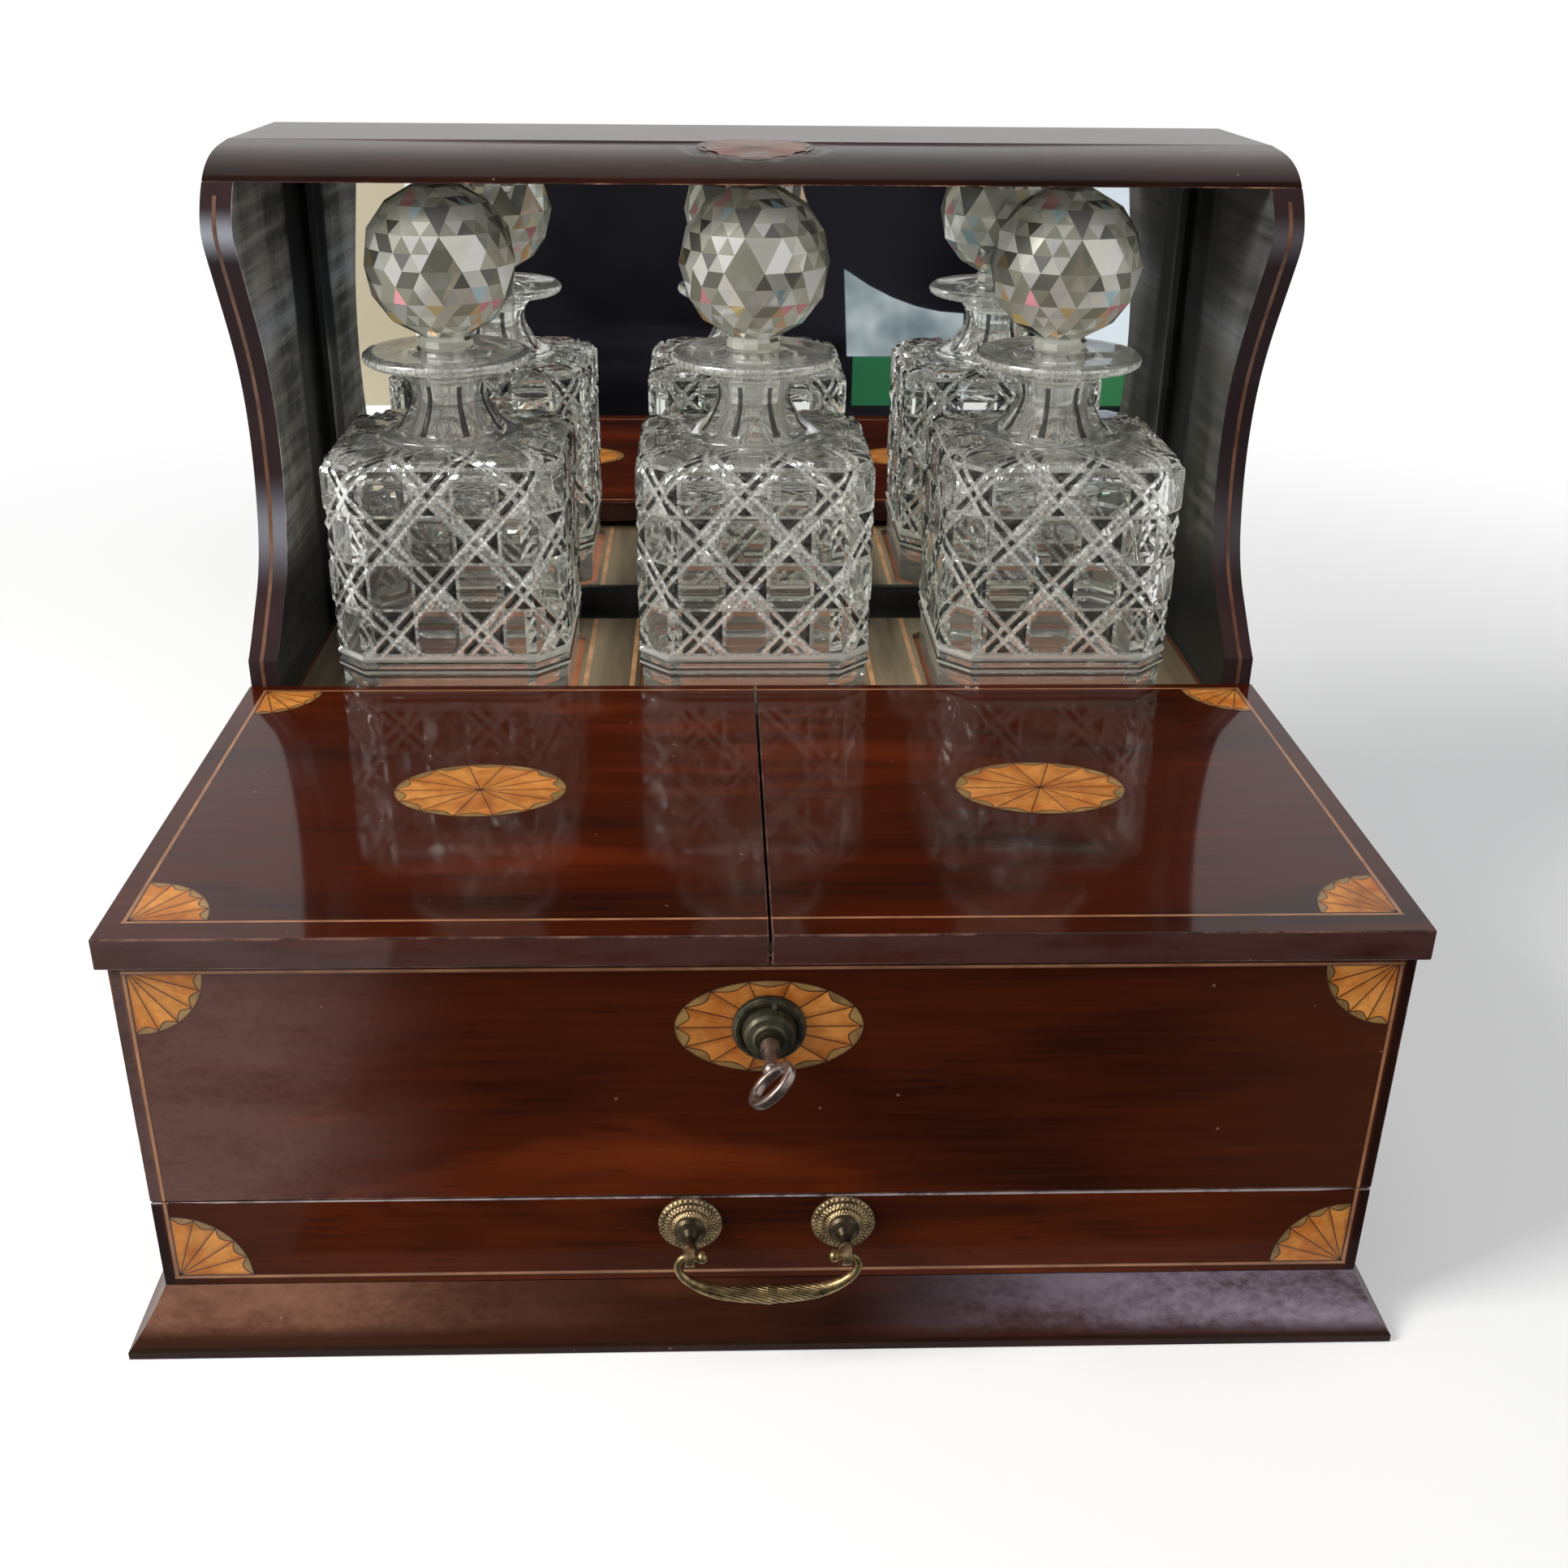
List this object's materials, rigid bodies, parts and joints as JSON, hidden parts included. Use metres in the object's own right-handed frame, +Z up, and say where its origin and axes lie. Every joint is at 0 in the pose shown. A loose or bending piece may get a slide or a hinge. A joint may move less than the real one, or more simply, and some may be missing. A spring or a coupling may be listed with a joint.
{
  "type": "tantalus",
  "caption": "Inlaid mahogany tantalus: hinged lids and drawer below, hooded mirror-backed bay holding square cut-glass decanters with faceted ball stoppers, lock and key.",
  "frame": {"origin": "centre of the underside, midway between the tip of the key's bow and the back face", "axes": "+Z up, front with the lock and drawer faces -Y, +X to the viewer's right"},
  "size_m": [0.402, 0.3508, 0.34],
  "materials": {
    "mahogany": "french polished",
    "case_wood": "worn polish",
    "secondary_wood": "unpolished",
    "ebonised": "worn ebonised",
    "satinwood": "polished inlay",
    "boxwood": "polished stringing",
    "mirror": "silvered glass",
    "cut_glass": "clear lead crystal",
    "antique_brass": "aged",
    "dark_bronze": "dark patinated",
    "steel": "worn"
  },
  "bodies": {
    "case": {"base_board": "secondary_wood", "plinth_front": "mahogany", "plinth_left": "mahogany", "plinth_right": "mahogany", "plinth_back": "case_wood", "side_left": "mahogany", "side_right": "mahogany", "front_panel": "mahogany", "dust_board": "secondary_wood", "compartment_back": "case_wood", "centre_partition": "case_wood", "case_back": "case_wood", "bay_floor": "ebonised", "bay_frame": "case_wood", "bay_strings": "boxwood", "bay_rear_rail": "ebonised", "mirror_glass": "mirror", "mirror_beads": "ebonised", "mirror_back": "case_wood", "hood_side_left": "mahogany", "hood_side_right": "mahogany", "hood_side_strings": "boxwood", "hood_top": "mahogany", "hood_patera": "satinwood", "front_inlay": "satinwood", "lock_case": "antique_brass", "lock_screws": "steel", "lock_boss": "dark_bronze", "hinge_fixed_left": "antique_brass", "hinge_fixed_right": "antique_brass", "hinge_pins": "steel", "drawer_stops": "secondary_wood"},
    "left_lid": {"lid_left": "mahogany", "lid_inlay_left": "satinwood", "lid_staple_left": "antique_brass", "hinge_lid_left": "antique_brass"},
    "right_lid": {"lid_right": "mahogany", "lid_inlay_right": "satinwood", "lid_staple_right": "antique_brass", "hinge_lid_right": "antique_brass"},
    "drawer": {"drawer_front": "mahogany", "drawer_side_left": "secondary_wood", "drawer_side_right": "secondary_wood", "drawer_back": "secondary_wood", "drawer_bottom": "secondary_wood", "drawer_inlay": "satinwood", "handle_rosettes": "antique_brass", "handle_posts": "antique_brass", "handle_nuts": "antique_brass"},
    "drawer_handle": {"handle_bail": "antique_brass"},
    "turning_key": {"key": "steel", "lock_barrel": "dark_bronze"},
    "bolt": {"lock_bolt": "steel"},
    "bottle_left": {"decanter_left": "cut_glass"},
    "bottle_centre": {"decanter_centre": "cut_glass"},
    "bottle_right": {"decanter_right": "cut_glass"},
    "ball_stopper_left": {"stopper_left": "cut_glass"},
    "ball_stopper_centre": {"stopper_centre": "cut_glass"},
    "ball_stopper_right": {"stopper_right": "cut_glass"}
  },
  "joints": [
    {"name": "left_lid_hinge", "type": "hinge", "parent": "case", "child": "left_lid", "pos_m": [-0.191, -0.04955, 0.13885], "axis": [0, -1, 0], "range_deg": [0, 100]},
    {"name": "right_lid_hinge", "type": "hinge", "parent": "case", "child": "right_lid", "pos_m": [0.191, -0.04955, 0.13885], "axis": [0, 1, 0], "range_deg": [0, 100]},
    {"name": "drawer_slide", "type": "slide", "parent": "case", "child": "drawer", "axis": [0, -1, 0], "range_m": [0, 0.2]},
    {"name": "handle_swing", "type": "hinge", "parent": "drawer", "child": "drawer_handle", "pos_m": [0, -0.15555, 0.0426], "axis": [-1, 0, 0], "range_deg": [-45, 95]},
    {"name": "key_turn", "type": "hinge", "parent": "case", "child": "turning_key", "pos_m": [0, -0.14555, 0.1157], "axis": [0, -1, 0], "range_deg": [0, 90]},
    {"name": "bolt_slide", "type": "slide", "parent": "case", "child": "bolt", "axis": [-1, 0, 0], "range_m": [0, 0.004]},
    {"name": "bottle_lift_left", "type": "slide", "parent": "case", "child": "bottle_left", "axis": [0, 0, 1], "range_m": [0, 0.0025]},
    {"name": "stopper_turn_left", "type": "hinge", "parent": "bottle_left", "child": "ball_stopper_left", "pos_m": [-0.1163, 0.09095, 0.26], "axis": [0, 0, 1], "continuous": true},
    {"name": "bottle_lift_centre", "type": "slide", "parent": "case", "child": "bottle_centre", "axis": [0, 0, 1], "range_m": [0, 0.0025]},
    {"name": "stopper_turn_centre", "type": "hinge", "parent": "bottle_centre", "child": "ball_stopper_centre", "pos_m": [0, 0.09095, 0.26], "axis": [0, 0, 1], "continuous": true},
    {"name": "bottle_lift_right", "type": "slide", "parent": "case", "child": "bottle_right", "axis": [0, 0, 1], "range_m": [0, 0.0025]},
    {"name": "stopper_turn_right", "type": "hinge", "parent": "bottle_right", "child": "ball_stopper_right", "pos_m": [0.1163, 0.09095, 0.26], "axis": [0, 0, 1], "continuous": true}
  ],
  "couplings": [
    {"joint": "key_turn", "follows": "bolt_slide", "rad_per_m": 392.7}
  ]
}
